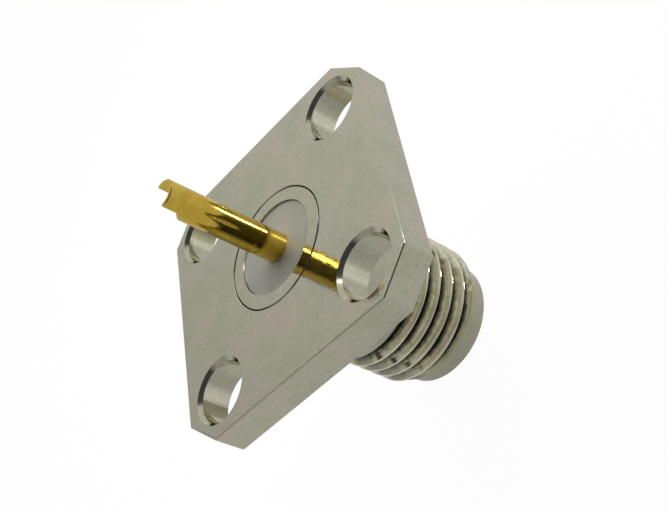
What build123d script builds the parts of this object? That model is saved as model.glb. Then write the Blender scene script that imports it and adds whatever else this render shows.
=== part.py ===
from build123d import *
from math import floor, radians, tan
import os

# Panel jack of a coaxial connector: a square flange, a threaded body pressed through it,
# a dielectric inside the body and a centre contact with a solder cup.
# Sizes are in millimetres. The common axis is Z, the solder tail points to +Z,
# and Z = 0 is the flange's rear face.

# Flange plate
flange_side = 12.7
flange_thickness = 1.45
flange_corner_crop = 1.47
flange_edge_break = 0.06
screw_hole_inset = 2.03
screw_hole_diameter = 2.6
screw_hole_chamfer = 0.16

# Body: spigot in the flange, plain collar, thread relief, threaded stretch, nose
thread_diameter = 6.35
thread_pitch = 0.7056
thread_depth = 0.433
thread_root_flat = 0.117
thread_angle = 60.0
shoulder_width = 0.525
ring_width = 0.575
seam_gap = 0.01
seam_chamfer = 0.04
collar_length = 3.47
collar_seat_depth = 0.1
relief_length = 0.33
relief_depth = 0.175
barrel_length = 8.07
nose_length = 0.83
nose_step = 0.475
nose_wall = 0.4
nose_edge_chamfer = 0.1
counterbore_depth = 1.93
counterbore_lead_in = 0.12

# Captive ridge: a rib turned inside the body, which the dielectric snaps over
ridge_height = 0.15
ridge_width = 0.5
ridge_depth = 3.0

# Dielectric
dielectric_recess = 0.1
press_gap = 0.005

# Centre contact: socket in front, barbed collar, solder tail with a milled cup
contact_diameter = 1.27
tail_length = 5.45
cup_bore_diameter = 0.97
cup_bore_depth = 2.1
cup_flat_offset = 0.105
cup_flat_length = 0.57
cup_opening_angle = -83.0
cup_tip_chamfer = 0.03
barb_diameter = 1.7
barb_length = 0.7
barb_depth = 3.6
socket_bore_diameter = 0.94
socket_bore_depth = 2.9
socket_recess = 0.05
socket_lead_in = 0.06
socket_play = 0.04
finger_count = 4
finger_slot_width = 0.15
finger_slot_length = 1.9
drill_point_angle = 118.0

# Heights that follow from the sizes
flange_front = -flange_thickness
nose_front = flange_front - barrel_length
reference_plane = nose_front + counterbore_depth
collar_rear = flange_front + collar_seat_depth
collar_front = flange_front - collar_length
thread_rear = collar_front - relief_length
nose_rear = nose_front + nose_length
ridge_middle = -ridge_depth
barb_middle = -barb_depth
dielectric_rear = -dielectric_recess
socket_front = reference_plane + socket_recess
slot_end = socket_front + finger_slot_length

# Radii that follow from the sizes
thread_radius = thread_diameter / 2
spigot_radius = thread_radius - shoulder_width
relief_radius = thread_radius - relief_depth
nose_radius = thread_radius - nose_step
counterbore_radius = nose_radius - nose_wall
body_bore_radius = spigot_radius - ring_width
dielectric_radius = body_bore_radius - press_gap
contact_radius = contact_diameter / 2
contact_bore_radius = contact_radius + press_gap
barb_radius = barb_diameter / 2
cup_bore_radius = cup_bore_diameter / 2
socket_bore_radius = socket_bore_diameter / 2

# Screw holes, and a thread groove on each pitch from the relief to the nose's slope
screw_hole_spacing = flange_side - 2 * screw_hole_inset
thread_front = nose_rear + nose_step
groove_mouth = thread_root_flat + 2 * thread_depth * tan(radians(thread_angle / 2))
groove_count = 1 + floor((thread_rear - thread_front) / thread_pitch)

# Cutter of the cup and point of the drills
cutter_radius = contact_radius - cup_flat_offset
cup_flat_end = tail_length - cup_flat_length
drill_cone = 1 / tan(radians(drill_point_angle / 2))

# Side view of the cup: across is the way it opens, up is +Z
cup_side = Plane(
    origin=(0, 0, 0),
    x_dir=Vector(1, 0, 0).rotate(Axis.Z, cup_opening_angle),
    z_dir=Vector(0, -1, 0).rotate(Axis.Z, cup_opening_angle),
)


# Flange: a square plate with cropped corners, four screw holes and the spigot's hole
with BuildPart() as flange:
    with BuildSketch(Plane.XY.offset(flange_front)):
        Rectangle(flange_side, flange_side)
        chamfer(vertices(), flange_corner_crop)
    extrude(amount=flange_thickness)
    chamfer(edges().filter_by(Plane.XY), flange_edge_break)
    with Locations(faces().sort_by(Axis.Z)[-1]):
        Hole(spigot_radius + seam_gap)
    seam_edge = faces().sort_by(Axis.Z)[-1].edges().filter_by(GeomType.CIRCLE)
    chamfer(seam_edge, seam_chamfer)
    with Locations(Plane.XY):
        with GridLocations(screw_hole_spacing, screw_hole_spacing, 2, 2):
            Hole(screw_hole_diameter / 2)
    screw_rims = edges().filter_by(GeomType.CIRCLE).filter_by(
        lambda rim: abs(rim.radius - screw_hole_diameter / 2) < screw_hole_chamfer / 2
    )
    chamfer(screw_rims, screw_hole_chamfer)
    # The collar's shoulder seats in a shallow recess in the front face
    with BuildSketch(Plane.XY.offset(flange_front)):
        Circle(thread_radius + seam_gap)
    extrude(amount=collar_seat_depth, mode=Mode.SUBTRACT)
flange.part.label = "flange"


# Body: turned from bar, its spigot flush with the flange's rear face and its collar's
# shoulder seated in the recess of the front face
with BuildPart() as body:
    with BuildSketch(Plane.XZ):
        with BuildLine():
            Polyline(
                (body_bore_radius, 0),
                (spigot_radius - seam_chamfer, 0),
                (spigot_radius, -seam_chamfer),
                (spigot_radius, collar_rear),
                (thread_radius, collar_rear),
                (thread_radius, collar_front),
                (relief_radius, collar_front),
                (relief_radius, thread_rear),
                (thread_radius, thread_rear),
                (thread_radius, thread_front),
                (nose_radius, nose_rear),
                (nose_radius, nose_front + nose_edge_chamfer),
                (nose_radius - nose_edge_chamfer, nose_front),
                (counterbore_radius + counterbore_lead_in, nose_front),
                (counterbore_radius, nose_front + counterbore_lead_in),
                (counterbore_radius, reference_plane),
                (body_bore_radius, reference_plane),
                close=True,
            )
        make_face()
    revolve(axis=Axis.Z)
    # The rib is square at its front, where it holds, and sloped behind, where it snaps in
    with BuildSketch(Plane.XZ):
        with BuildLine():
            Polyline(
                (body_bore_radius, ridge_middle - ridge_width / 2),
                (body_bore_radius - ridge_height, ridge_middle - ridge_width / 2),
                (body_bore_radius - ridge_height, ridge_middle),
                (body_bore_radius, ridge_middle + ridge_width / 2),
                close=True,
            )
        make_face()
    revolve(axis=Axis.Z)
    # The thread's grooves are level rings here. The first opens into the relief, and the
    # last runs out on the nose's slope
    with BuildSketch(Plane.XZ):
        with Locations(*[
            (thread_radius, thread_rear - turn * thread_pitch) for turn in range(groove_count)
        ]):
            Trapezoid(
                groove_mouth, thread_depth, 90 - thread_angle / 2,
                rotation=90, align=(Align.CENTER, Align.MIN),
            )
    revolve(axis=Axis.Z, mode=Mode.SUBTRACT)
body.part.label = "body"


# Dielectric: one turned rod with a groove for the rib, a bore for the contact and its
# barb, and a little play round the socket's fingers
with BuildPart() as dielectric:
    with BuildSketch(Plane.XZ):
        with BuildLine():
            Polyline(
                (contact_bore_radius, dielectric_rear),
                (dielectric_radius, dielectric_rear),
                (dielectric_radius, ridge_middle + ridge_width / 2 + press_gap),
                (dielectric_radius - ridge_height, ridge_middle + press_gap),
                (dielectric_radius - ridge_height, ridge_middle - ridge_width / 2 - press_gap),
                (dielectric_radius, ridge_middle - ridge_width / 2 - press_gap),
                (dielectric_radius, reference_plane),
                (contact_radius + socket_play, reference_plane),
                (contact_radius + socket_play, slot_end),
                (contact_bore_radius, slot_end),
                (contact_bore_radius, barb_middle - barb_length / 2 - press_gap),
                (barb_radius + press_gap, barb_middle - barb_length / 2 - press_gap),
                (barb_radius + press_gap, barb_middle),
                (contact_bore_radius, barb_middle + barb_length / 2 + press_gap),
                close=True,
            )
        make_face()
    revolve(axis=Axis.Z)
dielectric.part.label = "dielectric"


# Contact: one turned pin with a bored and slotted socket in front, a barb that holds it
# in the dielectric, and a bored tail whose side is milled open as a solder cup
with BuildPart() as contact:
    with BuildSketch(Plane.XZ):
        with BuildLine():
            Polyline(
                (0, socket_front),
                (contact_radius, socket_front),
                (contact_radius, barb_middle - barb_length / 2),
                (barb_radius, barb_middle - barb_length / 2),
                (barb_radius, barb_middle),
                (contact_radius, barb_middle + barb_length / 2),
                (contact_radius, tail_length - cup_tip_chamfer),
                (contact_radius - cup_tip_chamfer, tail_length),
                (0, tail_length),
                close=True,
            )
        make_face()
    revolve(axis=Axis.Z)
    # Socket and cup are both drilled, and the drill's cone closes each bore
    with BuildSketch(Plane.XZ):
        with BuildLine():
            Polyline(
                (0, socket_front),
                (socket_bore_radius + socket_lead_in, socket_front),
                (socket_bore_radius, socket_front + socket_lead_in),
                (socket_bore_radius, socket_front + socket_bore_depth),
                (0, socket_front + socket_bore_depth + socket_bore_radius * drill_cone),
                close=True,
            )
        make_face()
        with BuildLine():
            Polyline(
                (0, tail_length),
                (cup_bore_radius, tail_length),
                (cup_bore_radius, tail_length - cup_bore_depth),
                (0, tail_length - cup_bore_depth - cup_bore_radius * drill_cone),
                close=True,
            )
        make_face()
    revolve(axis=Axis.Z, mode=Mode.SUBTRACT)
    # Slots part the socket into springing fingers
    with BuildSketch(Plane.XY.offset(socket_front)):
        with PolarLocations(0, finger_count, start_angle=45):
            with Locations((contact_radius, 0)):
                Rectangle(contact_diameter, finger_slot_width)
    extrude(amount=finger_slot_length, mode=Mode.SUBTRACT)
    # The cutter runs in from the tip along a flat and leaves its own radius at the end
    with BuildSketch(cup_side):
        with BuildLine():
            Line((cup_flat_offset, tail_length), (cup_flat_offset, cup_flat_end))
            CenterArc((contact_radius, cup_flat_end), cutter_radius, 180, 90)
            Polyline(
                (contact_radius, cup_flat_end - cutter_radius),
                (contact_diameter, cup_flat_end - cutter_radius),
                (contact_diameter, tail_length),
                (cup_flat_offset, tail_length),
            )
        make_face()
    extrude(amount=contact_radius, both=True, mode=Mode.SUBTRACT)
contact.part.label = "contact"


os.makedirs("parts", exist_ok=True)
export_step(flange.part, "parts/flange.step")
export_step(body.part, "parts/body.step")
export_step(dielectric.part, "parts/dielectric.step")
export_step(contact.part, "parts/contact.step")
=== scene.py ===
from math import atan2, cos, pi, radians, sin, tan

import bmesh
import bpy
from mathutils import Matrix, Vector


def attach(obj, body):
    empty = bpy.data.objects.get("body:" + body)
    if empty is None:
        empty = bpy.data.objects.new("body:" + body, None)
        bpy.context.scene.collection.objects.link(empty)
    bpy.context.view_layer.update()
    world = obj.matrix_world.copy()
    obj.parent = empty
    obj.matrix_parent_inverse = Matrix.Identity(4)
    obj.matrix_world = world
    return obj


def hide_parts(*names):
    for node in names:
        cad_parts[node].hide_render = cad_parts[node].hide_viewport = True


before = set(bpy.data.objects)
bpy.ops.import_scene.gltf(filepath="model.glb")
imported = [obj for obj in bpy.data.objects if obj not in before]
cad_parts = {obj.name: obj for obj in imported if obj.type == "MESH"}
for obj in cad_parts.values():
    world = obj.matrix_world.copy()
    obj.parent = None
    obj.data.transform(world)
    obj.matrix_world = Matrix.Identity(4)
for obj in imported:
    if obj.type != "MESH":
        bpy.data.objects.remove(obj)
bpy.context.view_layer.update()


# Flange: a brass plate milled square with cropped corners, edges broken by tumbling and
# holes chamfered, then nickel plated to a satin gloss. Four screws hold it to a panel,
# and the body's spigot is pressed through its middle. Sizes are in millimetres.
flange_side = 12.7
flange_thickness = 1.45
flange_corner_crop = 1.47
flange_edge_break = 0.075
screw_hole_offset = 8.64 / 2
screw_hole_radius = 1.3
screw_hole_chamfer = 0.16
front_rim_break = 0.03
spigot_radius = 2.65
seam_gap = 0.05
seam_chamfer = 0.03
collar_radius = 3.175
collar_seat_depth = 0.1
flange_edge_segments = 3
round_steps = 128
mm = 0.001
weld_distance = 1e-4
same_height = 1e-5

nickel_warm = (0.65, 0.64, 0.50, 1)
nickel_green = (0.615, 0.612, 0.475, 1)
nickel_pink = (0.69, 0.638, 0.525, 1)
satin_roughness = (0.07, 0.12)
satin_stain_size = 2.4
satin_brush_scale = (9, 1.2, 9)
satin_grain_height, satin_brush_height = 2.2e-6, 2e-6
satin_grain_tone, satin_brush_tone = 0.08, 0.035
# Brightness of a screw hole's wall by direction in degrees from +X round the hole
hole_wall_bands = [
    (0, 1), (150, 0.9), (180, 1), (202, 0.82), (220, 0.9), (230, 1.4), (244, 1.5),
    (254, 1), (285, 0.95), (330, 0.9), (360, 1)]
hole_wall_margin = 0.02

# What the noises of every plated metal here have in common
cloud_detail, cloud_roughness = 8, 0.7
cloud_tone_stops = (0.43, 0.5, 0.57)
cloud_gloss_range = (0.35, 0.65)
brush_detail = 3
grain_scale, grain_detail = 9, 2
speck_range = (0.3, 0.7)


def add_object(name, data):
    """Puts a mesh, a lamp or a camera into the scene as an object."""
    made = bpy.data.objects.new(name, data)
    bpy.context.scene.collection.objects.link(made)
    return made


def to_mesh(bm, name):
    """Turns a bmesh into a mesh and frees it."""
    mesh = bpy.data.meshes.new(name)
    bm.to_mesh(mesh)
    bm.free()
    return mesh


def close_skin(bm):
    """Joins the corners that meet and turns every face outward."""
    bmesh.ops.remove_doubles(bm, verts=bm.verts, dist=weld_distance)
    bmesh.ops.recalc_face_normals(bm, faces=bm.faces)


def finish_piece(bm, name, node, sharp_degrees=32):
    """Turns a bmesh in millimetres into an object in metres that stands for a CAD node."""
    close_skin(bm)
    mesh = to_mesh(bm, name)
    mesh.transform(Matrix.Scale(mm, 4))
    mesh.shade_smooth()
    mesh.set_sharp_from_angle(angle=radians(sharp_degrees))
    piece = add_object(name, mesh)
    shading = piece.modifiers.new("even_shading", "WEIGHTED_NORMAL")
    shading.keep_sharp = True
    shading.weight = 100
    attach(piece, "root")
    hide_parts(node)
    return piece


def grown_verts(extruded):
    """The new corners of an extrusion."""
    return [item for item in extruded["geom"] if isinstance(item, bmesh.types.BMVert)]


def ring(bm, radius, height, middle=(0, 0)):
    """A level circle of edges, the start of a hole."""
    made = bmesh.ops.create_circle(
        bm, cap_ends=False, segments=round_steps, radius=radius,
        matrix=Matrix.Translation((*middle, height)))
    return list(dict.fromkeys(edge for vert in made["verts"] for edge in vert.link_edges))


def sweep_ring(bm, edges, middle, radius, steps):
    """Carries a circle of edges down through (radius, height) steps, leaving a wall."""
    centre = Vector((*middle, 0))
    for next_radius, next_height in steps:
        made = bmesh.ops.extrude_edge_only(bm, edges=edges)
        verts = grown_verts(made)
        grow = next_radius / radius
        bmesh.ops.scale(bm, vec=(grow, grow, 1), verts=verts,
                        space=Matrix.Translation(-centre))
        bmesh.ops.translate(bm, vec=(0, 0, next_height - verts[0].co.z), verts=verts)
        edges = [item for item in made["geom"] if isinstance(item, bmesh.types.BMEdge)
                 and all(abs(vert.co.z - next_height) < same_height for vert in item.verts)]
        radius = next_radius
    return edges


plate = bmesh.new()
bmesh.ops.create_grid(plate, x_segments=1, y_segments=1, size=flange_side / 2)
bmesh.ops.bevel(plate, geom=plate.verts[:], offset=flange_corner_crop,
                offset_type="OFFSET", affect="VERTICES", segments=1, profile=0.5,
                material=-1)
down = bmesh.ops.extrude_face_region(plate, geom=plate.faces[:])
bmesh.ops.translate(plate, vec=(0, 0, -flange_thickness), verts=grown_verts(down))
bmesh.ops.bevel(plate, geom=plate.edges[:], offset=flange_edge_break,
                offset_type="OFFSET", affect="EDGES", segments=flange_edge_segments,
                profile=0.5, material=-1)
flats = sorted(plate.faces, key=lambda face: face.calc_area())[-2:]
rear, front = sorted(flats, key=lambda face: -face.calc_center_median().z)
rear_edges, front_edges = list(rear.edges), list(front.edges)
bmesh.ops.delete(plate, geom=[rear, front], context="FACES_ONLY")
for side_x in (-1, 1):
    for side_y in (-1, 1):
        middle = (side_x * screw_hole_offset, side_y * screw_hole_offset)
        rim_radius = screw_hole_radius + screw_hole_chamfer
        rim = ring(plate, rim_radius, 0, middle)
        rear_edges += rim
        front_edges += sweep_ring(plate, rim, middle, rim_radius, [
            (screw_hole_radius, -screw_hole_chamfer),
            (screw_hole_radius, front_rim_break - flange_thickness),
            (screw_hole_radius + front_rim_break, -flange_thickness)])
hole_radius = spigot_radius + seam_gap
seat_radius = collar_radius + seam_gap
rim = ring(plate, hole_radius + seam_chamfer, 0)
rear_edges += rim
front_edges += sweep_ring(plate, rim, (0, 0), hole_radius + seam_chamfer, [
    (hole_radius, -seam_chamfer),
    (hole_radius, collar_seat_depth - flange_thickness),
    (seat_radius, collar_seat_depth - flange_thickness),
    (seat_radius, -flange_thickness)])
bmesh.ops.triangle_fill(plate, use_beauty=True, use_dissolve=False, edges=rear_edges,
                        normal=(0, 0, 1))
bmesh.ops.triangle_fill(plate, use_beauty=True, use_dissolve=False, edges=front_edges,
                        normal=(0, 0, -1))
flange = finish_piece(plate, "flange_plate", "flange")


def feed(tree, target, inputs):
    """Sets a shader node's inputs, each to a value or to a link from an output."""
    for key, value in inputs.items():
        if isinstance(value, bpy.types.NodeSocket):
            tree.links.new(value, target.inputs[key])
        elif value is not None:
            target.inputs[key].default_value = value


def add_node(tree, kind, inputs=None, **settings):
    """Adds a shader node with its settings and inputs."""
    made = tree.nodes.new(kind)
    for key, value in settings.items():
        setattr(made, key, value)
    feed(tree, made, inputs or {})
    return made


def new_material(name):
    """A new material, with its tree and the principled shader that is in it."""
    material = bpy.data.materials.new(name)
    material.use_nodes = True
    return material, material.node_tree, material.node_tree.nodes["Principled BSDF"]


def calculate(tree, operation, *operands):
    """One step of arithmetic on numbers."""
    return add_node(tree, "ShaderNodeMath", dict(enumerate(operands)),
                    operation=operation).outputs[0]


def on_vectors(tree, operation, *operands):
    """One step of arithmetic on vectors. The result can be a vector or a number."""
    made = add_node(tree, "ShaderNodeVectorMath", dict(enumerate(operands)),
                    operation=operation)
    return made.outputs["Value" if operation in ("LENGTH", "DOT_PRODUCT") else "Vector"]


def scaled(tree, vector, factor):
    """A vector or a colour times one number."""
    return add_node(tree, "ShaderNodeVectorMath", {0: vector, "Scale": factor},
                    operation="SCALE").outputs["Vector"]


def map_range(tree, value, given, wanted, interpolation_type="LINEAR"):
    """Carries a value from the given range to the wanted one and holds it at the ends."""
    return add_node(tree, "ShaderNodeMapRange", {
        "Value": value, "From Min": given[0], "From Max": given[1], "To Min": wanted[0],
        "To Max": wanted[1]}, interpolation_type=interpolation_type).outputs["Result"]


def mixed(tree, factor, under, over, blend_type="MIX"):
    """One colour over another. The node's colours are its sockets 6 and 7, and output 2."""
    return add_node(tree, "ShaderNodeMix", {0: factor, 6: under, 7: over},
                    data_type="RGBA", blend_type=blend_type).outputs[2]


def ramp(tree, factor, stops):
    """A colour ramp through (position, colour) stops in rising order."""
    made = add_node(tree, "ShaderNodeValToRGB", {"Fac": factor})
    elements = made.color_ramp.elements
    for index, (position, colour) in enumerate(stops):
        stop = elements[index] if index < 2 else elements.new(position)
        stop.position = position
        stop.color = colour
    return made.outputs["Color"]


def by_direction(tree, vector, levels, tint=(1, 1, 1)):
    """A tone by the direction round Z, through (degrees from +X, level) stops."""
    axes = add_node(tree, "ShaderNodeSeparateXYZ", {0: vector}).outputs
    angle = calculate(tree, "ARCTAN2", axes["Y"], axes["X"])
    whole = calculate(tree, "MULTIPLY_ADD", angle, 1 / (2 * pi), 1)
    return ramp(tree, calculate(tree, "FRACT", whole), [
        (degrees_round / 360, [*(level * part for part in tint), 1])
        for degrees_round, level in levels])


def object_mm(tree, flat=False):
    """A point's own place on the piece in millimetres, with flat its place seen along Z."""
    where = add_node(tree, "ShaderNodeTexCoord").outputs["Object"]
    return on_vectors(tree, "MULTIPLY", where, (1 / mm, 1 / mm, 0 if flat else 1 / mm))


def noise(tree, where, scale, detail, roughness=0.5):
    """Soft noise from 0 to 1."""
    return add_node(tree, "ShaderNodeTexNoise", {
        "Vector": where, "Scale": scale, "Detail": detail,
        "Roughness": roughness}).outputs["Fac"]


def bump(tree, height, distance, normal=None):
    """Relief from a height, on top of another relief where one is given."""
    return add_node(tree, "ShaderNodeBump", {
        "Height": height, "Distance": distance, "Normal": normal}).outputs["Normal"]


def metal(name, roughness, tones, stain_size, brush_scale, grain_height, brush_height,
          grain_tone, brush_tone):
    """A plated metal: cloudy tone, fine grain and tool lines in colour, gloss and bump."""
    material, tree, shader = new_material(name)
    in_mm = object_mm(tree)
    clouds = noise(tree, in_mm, 1 / stain_size, cloud_detail, cloud_roughness)
    stretched = on_vectors(tree, "MULTIPLY", in_mm, brush_scale)
    brushing = noise(tree, stretched, 1, brush_detail)
    grain = noise(tree, in_mm, grain_scale, grain_detail)
    toned = ramp(tree, clouds, zip(cloud_tone_stops, tones))
    for source, strength in ((grain, grain_tone), (brushing, brush_tone)):
        specks = map_range(tree, source, speck_range, (1 - strength, 1 + strength))
        toned = scaled(tree, toned, specks)
    fine = bump(tree, grain, grain_height)
    feed(tree, shader, {
        "Metallic": 1, "Base Color": toned,
        "Roughness": map_range(tree, clouds, cloud_gloss_range, roughness),
        "Normal": bump(tree, brushing, brush_height, fine)})
    return material


satin_nickel = metal(
    "satin_nickel_plate", satin_roughness, (nickel_green, nickel_warm, nickel_pink),
    satin_stain_size, satin_brush_scale, satin_grain_height, satin_brush_height,
    satin_grain_tone, satin_brush_tone)
flange.data.materials.append(satin_nickel)

# Bands along the walls of the screw holes stand in for the reflections in drilled ones
flange_tree = satin_nickel.node_tree
flange_shader = flange_tree.nodes["Principled BSDF"]
plate_tone = flange_shader.inputs["Base Color"].links[0].from_socket
plan_place = object_mm(flange_tree, flat=True)
quarter = on_vectors(flange_tree, "SIGN", plan_place)
from_hole = on_vectors(flange_tree, "MULTIPLY_ADD", quarter,
                       (-screw_hole_offset, -screw_hole_offset, 0), plan_place)
on_wall = calculate(flange_tree, "LESS_THAN", on_vectors(flange_tree, "LENGTH", from_hole),
                    screw_hole_radius + hole_wall_margin)
wall_bands = by_direction(flange_tree, from_hole, hole_wall_bands)
feed(flange_tree, flange_shader, {
    "Base Color": mixed(flange_tree, on_wall, plate_tone, wall_bands, "MULTIPLY")})


# Body: one turned brass piece, bright nickel plated. Its spigot shows as the ring in the
# flange, then come the plain collar, the relief, the 1/4-36 right-hand thread and the
# nose with the counterbore for the plug. The thread is cut last, and runs out in the relief.
body_bore_radius = 2.075
collar_rear = collar_seat_depth - flange_thickness
collar_front = -4.92
collar_edge_break = 0.03
relief_radius = 3.0
thread_rear = -5.3
thread_front = -8.215
nose_radius = 2.7
nose_rear = -8.69
nose_front = -9.52
nose_edge_chamfer = 0.1
counterbore_radius = 2.3
counterbore_lead_in = 0.12
reference_plane = -7.59
ridge_height = 0.15
ridge_rear, ridge_top, ridge_front = -2.75, -3.0, -3.25
thread_pitch = 0.7056
thread_root_radius = 2.742
thread_root_flat = 0.117
thread_flank_angle = 30
thread_flank_rise = 1 / tan(radians(thread_flank_angle))
thread_end_height = -5.247
thread_end_turn = 0.125
thread_fade_turns = 0.35
groove_count = 6
groove_corner_count = 6
crest_edge_break = 0.025
crest_full_depth = 0.2
# Painted shade at the thread's roots and painted highlight on its crests, as factors on the
# nickel's colour
groove_painted_shade = 0.08
crest_painted_highlight = 1.4
groove_patch_scale, groove_patch_detail = 3.5, 4
groove_patch_depth = 0.25
crest_highlight_margin = 0.05
lip_search_steps = 40
turned_roughness = (0.05, 0.1)
turned_stain_size = 0.6
turned_brush_scale = (0.8, 0.8, 14)
turned_grain_height, turned_brush_height = 2e-6, 1.5e-6
turned_grain_tone, turned_brush_tone = 0.04, 0.03

# The blank's outside between the relief and the nose, which the grooves are cut into
blank_land = [
    (relief_radius, collar_front),
    (relief_radius, thread_rear + collar_radius - relief_radius),
    (collar_radius, thread_rear), (collar_radius, thread_front), (nose_radius, nose_rear)]


def blank_radius(height):
    """The blank's radius at a height, along the straight runs of its outside."""
    for (rear_radius, rear), (front_radius, front) in zip(blank_land, blank_land[1:]):
        if height >= front:
            share = (rear - height) / (rear - front)
            return rear_radius + (front_radius - rear_radius) * min(max(share, 0), 1)
    return nose_radius


def groove_corners(middle, root):
    """One groove in one column as (radius, height): broken lip, root, root, broken lip."""
    def cut_depth(height):
        past_flat = max(abs(height - middle) - thread_root_flat / 2, 0)
        return blank_radius(height) - root - past_flat * thread_flank_rise

    floor_ends = [middle + thread_root_flat / 2, middle - thread_root_flat / 2]
    deepest = max(floor_ends, key=cut_depth)
    if cut_depth(deepest) <= 0:
        resting = min(max(middle, nose_rear), collar_front)
        return [(blank_radius(resting), resting)] * groove_corner_count
    lips = []
    for side in (1, -1):
        inside, outside = deepest, deepest + side * thread_pitch
        for _ in range(lip_search_steps):
            halfway = (inside + outside) / 2
            if cut_depth(halfway) > 0:
                inside = halfway
            else:
                outside = halfway
        lips.append(inside)
    broken = crest_edge_break * min(cut_depth(deepest) / crest_full_depth, 1)
    lip_edges = [
        min(lips[0] + broken, collar_front), lips[0] - broken / 2,
        lips[1] + broken / 2, max(lips[1] - broken, nose_rear)]
    floor_ends = [min(max(end, lip_edges[2]), lip_edges[1]) for end in floor_ends]
    heights = [*lip_edges[:2], *floor_ends, *lip_edges[2:]]
    return [(blank_radius(height) - max(cut_depth(height), 0), height) for height in heights]


def land_corners(rear, front):
    """The blank's own corners, held between two grooves."""
    held = [min(max(height, front), rear) for _, height in blank_land[1:-1]]
    return [(blank_radius(height), height) for height in held]


def thread_column(turn):
    """The outside between relief and nose at one azimuth, given in turns, rear to front."""
    column = [blank_land[0]]
    land_rear = collar_front
    for groove in range(groove_count):
        past_end = turn - thread_end_turn - groove
        fade = min(max(past_end / thread_fade_turns, 0), 1)
        root = thread_root_radius + fade * (collar_radius - thread_root_radius)
        corners = groove_corners(thread_end_height + past_end * thread_pitch, root)
        column += land_corners(land_rear, corners[0][1]) + corners
        land_rear = corners[-1][1]
    return column + land_corners(land_rear, nose_rear) + [blank_land[-1]]


def spin_outline(bm, corners, closed=True, use_merge=True, place=None):
    """Spins a (radius, height) outline once round the axis, as on a lathe, numbers its
    corners in the layer place where one is given, and gives back the last column."""
    verts = [bm.verts.new((radius, 0, height)) for radius, height in corners]
    if place is not None:
        for index, vert in enumerate(verts):
            vert[place] = index
    edges = [bm.edges.new((verts[i - 1], verts[i]))
             for i in range(0 if closed else 1, len(verts))]
    return bmesh.ops.spin(
        bm, geom=verts + edges, cent=(0, 0, 0), axis=(0, 0, 1), dvec=(0, 0, 0),
        angle=2 * pi, steps=round_steps, use_merge=use_merge,
        use_duplicate=False)["geom_last"]


blank = bmesh.new()
moving = thread_column(0)
body_outline = moving + [
    (nose_radius, nose_front + nose_edge_chamfer),
    (nose_radius - nose_edge_chamfer, nose_front),
    (counterbore_radius + counterbore_lead_in, nose_front),
    (counterbore_radius, nose_front + counterbore_lead_in),
    (counterbore_radius, reference_plane), (body_bore_radius, reference_plane),
    (body_bore_radius, ridge_front), (body_bore_radius - ridge_height, ridge_front),
    (body_bore_radius - ridge_height, ridge_top), (body_bore_radius, ridge_rear),
    (body_bore_radius, 0), (spigot_radius - seam_chamfer, 0),
    (spigot_radius, -seam_chamfer), (spigot_radius, collar_rear),
    (collar_radius, collar_rear), (collar_radius, collar_front + collar_edge_break),
    (collar_radius - collar_edge_break, collar_front)]
place = blank.verts.layers.int.new("place")
last_column = spin_outline(blank, body_outline, use_merge=False, place=place)
last_verts = {item for item in last_column if isinstance(item, bmesh.types.BMVert)}
columns = [thread_column(step / round_steps) for step in range(round_steps + 1)]
for vert in blank.verts:
    if vert[place] < len(moving):
        angle = atan2(vert.co.y, vert.co.x) % (2 * pi)
        step = round_steps if vert in last_verts else round(angle / (2 * pi) * round_steps)
        radius, height = columns[step][vert[place]]
        vert.co = (radius * cos(angle), radius * sin(angle), height)
body = finish_piece(blank, "threaded_body", "body", sharp_degrees=20)
turned_nickel = metal(
    "bright_nickel_turned", turned_roughness, (nickel_green, nickel_warm, nickel_pink),
    turned_stain_size, turned_brush_scale, turned_grain_height, turned_brush_height,
    turned_grain_tone, turned_brush_tone)
body.data.materials.append(turned_nickel)

# Painted shade darkens the thread's grooves and a painted highlight lightens its crests, in
# patches
body_tree = turned_nickel.node_tree
body_shader = body_tree.nodes["Principled BSDF"]
even_tone = body_shader.inputs["Base Color"].links[0].from_socket
from_axis = on_vectors(body_tree, "LENGTH", object_mm(body_tree, flat=True))
patches = noise(body_tree, object_mm(body_tree), groove_patch_scale, groove_patch_detail)
uneven_radius = calculate(body_tree, "MULTIPLY_ADD", patches, groove_patch_depth, from_axis)
painted_groove_light = map_range(
    body_tree, uneven_radius,
    (thread_root_radius + groove_patch_depth / 2,
     collar_radius - crest_highlight_margin + groove_patch_depth / 2),
    (groove_painted_shade, crest_painted_highlight), "SMOOTHSTEP")
body_place = add_node(body_tree, "ShaderNodeTexCoord").outputs["Object"]
body_height = add_node(body_tree, "ShaderNodeSeparateXYZ", {0: body_place}).outputs["Z"]
in_thread = calculate(body_tree, "COMPARE", body_height,
                      (collar_front + thread_front) / 2 * mm,
                      (collar_front - thread_front) / 2 * mm)
# The mix of two numbers takes them on its sockets 2 and 3
thread_painted_light = add_node(body_tree, "ShaderNodeMix", {0: in_thread, 2: 1, 3: painted_groove_light},
                       data_type="FLOAT").outputs[0]
feed(body_tree, body_shader, {"Base Color": scaled(body_tree, even_tone, thread_painted_light)})


# Dielectric: a turned PTFE rod, snapped over the ridge inside the body. Its rear face
# lies a little below the ring and its front face makes the reference plane.
dielectric_radius = 2.07
dielectric_rear = -0.1
press_gap = 0.005
contact_radius = 0.635
barb_radius = 0.85
barb_rear, barb_top, barb_front = -3.25, -3.6, -3.95
socket_play = 0.04
slot_end = -5.64
ptfe_edge_round = 0.02
ptfe_white = (0.435, 0.435, 0.385, 1)
ptfe_grey = (0.405, 0.405, 0.355, 1)
ptfe_tone_stops = (0.35, 0.65)
ptfe_haze_scale, ptfe_haze_detail = 0.9, 4
ptfe_roughness = 0.42
ptfe_scatter, ptfe_scatter_depth = 0.35, 0.6
ptfe_ior = 1.38
lathe_line_scale, lathe_line_waver = 4, 0.4
lathe_line_height = 1e-6

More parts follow.
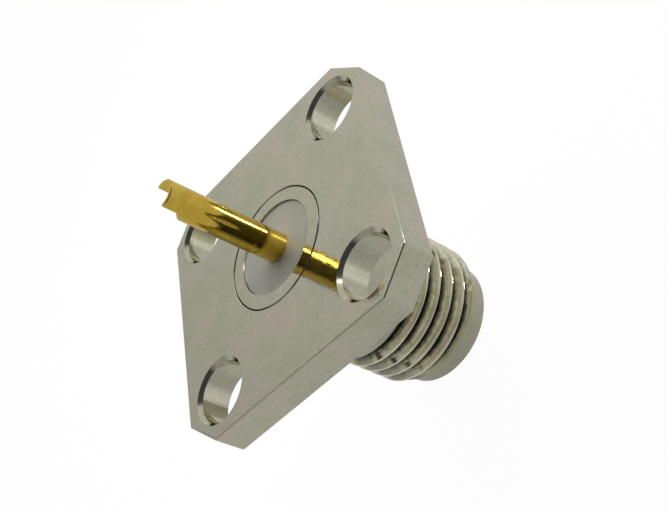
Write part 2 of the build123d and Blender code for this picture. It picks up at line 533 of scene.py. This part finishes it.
rod = bmesh.new()
spin_outline(rod, [
    (contact_radius + press_gap, dielectric_rear),
    (dielectric_radius - ptfe_edge_round, dielectric_rear),
    (dielectric_radius, dielectric_rear - ptfe_edge_round),
    (dielectric_radius, ridge_rear + press_gap),
    (dielectric_radius - ridge_height, ridge_top + press_gap),
    (dielectric_radius - ridge_height, ridge_front - press_gap),
    (dielectric_radius, ridge_front - press_gap),
    (dielectric_radius, reference_plane),
    (contact_radius + socket_play, reference_plane),
    (contact_radius + socket_play, slot_end),
    (contact_radius + press_gap, slot_end),
    (contact_radius + press_gap, barb_front - press_gap),
    (barb_radius + press_gap, barb_front - press_gap),
    (barb_radius + press_gap, barb_top),
    (contact_radius + press_gap, barb_rear + press_gap)])
dielectric = finish_piece(rod, "ptfe_dielectric", "dielectric", sharp_degrees=20)

ptfe, ptfe_tree, ptfe_shader = new_material("turned_ptfe")
ptfe_place = object_mm(ptfe_tree)
haze = noise(ptfe_tree, ptfe_place, ptfe_haze_scale, ptfe_haze_detail)
lathe_lines = add_node(ptfe_tree, "ShaderNodeTexWave", {
    "Vector": ptfe_place, "Scale": lathe_line_scale, "Distortion": lathe_line_waver},
    wave_type="RINGS", rings_direction="Z").outputs["Fac"]
feed(ptfe_tree, ptfe_shader, {
    "Roughness": ptfe_roughness, "Subsurface Weight": ptfe_scatter,
    "Subsurface Scale": ptfe_scatter_depth * mm, "IOR": ptfe_ior,
    "Base Color": ramp(ptfe_tree, haze, zip(ptfe_tone_stops, (ptfe_grey, ptfe_white))),
    "Normal": bump(ptfe_tree, lathe_lines, lathe_line_height)})
dielectric.data.materials.append(ptfe)


# Contact: one turned beryllium copper pin, gold plated. The front is bored and slotted
# into springing fingers, a barb holds it in the dielectric, and the tail is drilled and
# then milled open from the side as a cup for the wire.
tail_end = 5.45
tail_tip_chamfer = 0.03
cup_bore_radius = 0.485
cup_bore_end = 3.35
cup_flat_offset = 0.105
cup_flat_end = 4.88
cup_opening_angle = -83
cutter_radius = contact_radius - cup_flat_offset
cutter_steps = 16
cutter_overrun = 0.5
cutter_reach = 1.2
cutter_half_width = 1
socket_front = -7.54
socket_bore_radius = 0.47
socket_bore_end = -4.64
socket_lead_in = 0.06
drill_point_angle = 118
drill_cone = 1 / tan(radians(drill_point_angle / 2))
finger_slot_width = 0.15
finger_slot_turns = (45, 135)
saw_length, saw_height = 2, 3
gold_deep = (0.78, 0.52, 0.07, 1)
gold_mid = (0.83, 0.58, 0.09, 1)
gold_pale = (0.88, 0.64, 0.12, 1)
gold_roughness = (0.05, 0.1)
gold_stain_size = 0.9
gold_brush_scale = (1, 1, 8)
gold_grain_height, gold_brush_height = 0.8e-6, 1e-6
gold_grain_tone, gold_brush_tone = 0.02, 0.03


def loose_object(bm, name):
    """A bmesh as a plain object in millimetres, for one piece to cut another."""
    close_skin(bm)
    return add_object(name, to_mesh(bm, name))


def cut_away(blank, tools):
    """Takes the tools' solids out of the blank's and gives back the result as a bmesh."""
    for tool in tools:
        cut = blank.modifiers.new(tool.name, "BOOLEAN")
        cut.operation = "DIFFERENCE"
        cut.solver = "EXACT"
        cut.object = tool
    graph = bpy.context.evaluated_depsgraph_get()
    made = bmesh.new()
    made.from_mesh(blank.evaluated_get(graph).to_mesh())
    for used in [blank, *tools]:
        bpy.data.objects.remove(used)
    return made


pin_outline = [
    (0, socket_bore_end + socket_bore_radius * drill_cone),
    (socket_bore_radius, socket_bore_end),
    (socket_bore_radius, socket_front + socket_lead_in),
    (socket_bore_radius + socket_lead_in, socket_front),
    (contact_radius, socket_front), (contact_radius, barb_front),
    (barb_radius, barb_front), (barb_radius, barb_top), (contact_radius, barb_rear),
    (contact_radius, tail_end - tail_tip_chamfer),
    (contact_radius - tail_tip_chamfer, tail_end), (cup_bore_radius, tail_end),
    (cup_bore_radius, cup_bore_end),
    (0, cup_bore_end - cup_bore_radius * drill_cone)]
pin = bmesh.new()
spin_outline(pin, pin_outline, closed=False)

# The milling cutter comes in from the tip along the flat and lifts out on its own radius
cutter_path = [(cup_flat_offset, tail_end + cutter_overrun)]
cutter_path += [(contact_radius - cutter_radius * cos(pi / 2 * step / cutter_steps),
                 cup_flat_end - cutter_radius * sin(pi / 2 * step / cutter_steps))
                for step in range(cutter_steps + 1)]
cutter_path += [(cutter_reach, cup_flat_end - cutter_radius),
                (cutter_reach, tail_end + cutter_overrun)]
cutter = bmesh.new()
cutter.faces.new([cutter.verts.new((across, -cutter_half_width, height))
                  for across, height in cutter_path])
grown = bmesh.ops.extrude_face_region(cutter, geom=cutter.faces[:])
bmesh.ops.translate(cutter, vec=(0, 2 * cutter_half_width, 0), verts=grown_verts(grown))
bmesh.ops.rotate(cutter, cent=(0, 0, 0), verts=cutter.verts[:],
                 matrix=Matrix.Rotation(radians(cup_opening_angle), 3, "Z"))
saws = []
for turn in finger_slot_turns:
    saw = bmesh.new()
    bmesh.ops.create_cube(saw, size=1, matrix=Matrix.Rotation(radians(turn), 4, "Z")
                          @ Matrix.Translation((0, 0, slot_end - saw_height / 2))
                          @ Matrix.Diagonal((saw_length, finger_slot_width, saw_height, 1)))
    saws.append(loose_object(saw, f"saw_{turn}"))
contact = finish_piece(
    cut_away(loose_object(pin, "pin"), [loose_object(cutter, "cutter"), *saws]),
    "gold_contact", "contact", sharp_degrees=20)
contact.data.materials.append(metal(
    "polished_gold_plate", gold_roughness, (gold_deep, gold_mid, gold_pale),
    gold_stain_size, gold_brush_scale, gold_grain_height, gold_brush_height,
    gold_grain_tone, gold_brush_tone))


# Studio: a plain pale floor under the nose, a soft surround that is dark or light by
# direction, and two lamps: a strip that only the metal mirrors, and a soft lamp that only
# lights. The surround is white where the camera looks straight at it.
floor_height = -9.53
floor_half_side = 400
floor_tone = (0.63, 0.63, 0.62, 1)
floor_glow = 1.05
floor_mirrored_share, floor_greatest_share = 0.25, 0.92
white = (1, 1, 1, 1)
camera_place = (31.41, 24.31, 24.01)
camera_right = Vector((0.14670, 0.64624, -0.74891))
camera_up = Vector((-0.73253, 0.57974, 0.35677))
camera_forward = Vector((-0.66473, -0.49627, -0.55844))
camera_lens, camera_sensor = 62.45, 36
camera_nearest, camera_furthest = 0.001, 10
strip_direction = Vector((-0.386, 0.828, 0.407)).normalized()
strip_distance = 90
strip_width = 13
strip_height = 38
strip_power = 0.1
softbox_place = Vector((-28, -4, 38))
softbox_size = 60
softbox_power = 0.015
# Brightness of the surround by compass direction in degrees from +X, low down
surround_panels = [
    (0, 0.02), (55, 0.02), (85, 0.25), (105, 0.6), (150, 0.6), (205, 0.6), (228, 0.46),
    (250, 0.2), (268, 0.22), (285, 0.35), (320, 0.35), (338, 0.15), (350, 0.02), (360, 0.02)]
surround_tint = (1, 0.995, 0.97)
dark_cap_direction = Vector((0.235, 0.407, 0.883))
dark_cap_range = (0.66, 0.84)
dark_cap_tone = (0.06, 0.06, 0.06, 1)
horizon_level = 0.5
horizon_range = (0.22, 0.48)


def area_lamp(name, shape, width, height, power, place):
    """An area lamp at a place in millimetres that looks at the origin."""
    data = bpy.data.lights.new(name, "AREA")
    data.shape = shape
    data.size = width * mm
    data.size_y = height * mm
    data.energy = power
    lamp = add_object(name, data)
    lamp.location = place * mm
    lamp.rotation_mode = "QUATERNION"
    lamp.rotation_quaternion = place.to_track_quat("Z", "Y")
    return lamp


bed = bmesh.new()
bmesh.ops.create_grid(bed, x_segments=1, y_segments=1, size=floor_half_side,
                      matrix=Matrix.Translation((0, 0, floor_height)))
bed_mesh = to_mesh(bed, "floor")
bed_mesh.transform(Matrix.Scale(mm, 4))
floor = add_object("floor", bed_mesh)

# The camera sees the floor glow nearly white, and metal mirrors a share of that glow
paper, paper_tree, paper_shader = new_material("pale_paper")
paper_tree.nodes.remove(paper_shader)
matt = add_node(paper_tree, "ShaderNodeBsdfDiffuse", {"Color": floor_tone})
glow = add_node(paper_tree, "ShaderNodeEmission", {"Color": white, "Strength": floor_glow})
ray = add_node(paper_tree, "ShaderNodeLightPath").outputs
mirrored = calculate(paper_tree, "MAXIMUM", ray["Is Glossy Ray"], ray["Is Transmission Ray"])
seen = calculate(paper_tree, "MULTIPLY_ADD", mirrored, floor_mirrored_share,
                 ray["Is Camera Ray"])
glow_share = calculate(paper_tree, "MINIMUM", seen, floor_greatest_share)
lit_paper = add_node(paper_tree, "ShaderNodeMixShader", {
    "Fac": glow_share, 1: matt.outputs[0], 2: glow.outputs[0]})
feed(paper_tree, paper_tree.nodes["Material Output"], {"Surface": lit_paper.outputs[0]})
floor.data.materials.append(paper)

world = bpy.data.worlds.new("soft_surround")
bpy.context.scene.world = world
world.use_nodes = True
sky_tree = world.node_tree
sky_tree.nodes.clear()
outlook = add_node(sky_tree, "ShaderNodeTexCoord").outputs["Generated"]
panels = by_direction(sky_tree, outlook, surround_panels, surround_tint)
rise = add_node(sky_tree, "ShaderNodeSeparateXYZ", {0: outlook}).outputs["Z"]
horizon = map_range(sky_tree, rise, horizon_range, (horizon_level, 0), "SMOOTHSTEP")
walls = mixed(sky_tree, 1, panels, horizon, "LIGHTEN")
towards_cap = on_vectors(sky_tree, "DOT_PRODUCT", outlook, dark_cap_direction)
in_cap = map_range(sky_tree, towards_cap, dark_cap_range, (0, 1), "SMOOTHSTEP")
roof = mixed(sky_tree, in_cap, walls, dark_cap_tone)
camera_ray = add_node(sky_tree, "ShaderNodeLightPath").outputs["Is Camera Ray"]
sky = add_node(sky_tree, "ShaderNodeBackground", {
    "Color": mixed(sky_tree, camera_ray, roof, white)})
add_node(sky_tree, "ShaderNodeOutputWorld", {"Surface": sky.outputs[0]})

strip = area_lamp("strip_lamp", "RECTANGLE", strip_width, strip_height, strip_power,
                  strip_direction * strip_distance)
strip.visible_diffuse = False
softbox = area_lamp("softbox", "DISK", softbox_size, softbox_size, softbox_power,
                    softbox_place)
softbox.visible_glossy = False

camera_data = bpy.data.cameras.new("camera")
camera_data.sensor_width = camera_sensor
camera_data.lens = camera_lens
camera_data.clip_start = camera_nearest
camera_data.clip_end = camera_furthest
camera = add_object("camera", camera_data)
camera_turn = Matrix((camera_right, camera_up, -camera_forward)).transposed().to_4x4()
camera.matrix_world = Matrix.Translation(Vector(camera_place) * mm) @ camera_turn
bpy.context.scene.camera = camera
bpy.context.scene.view_settings.view_transform = "Standard"
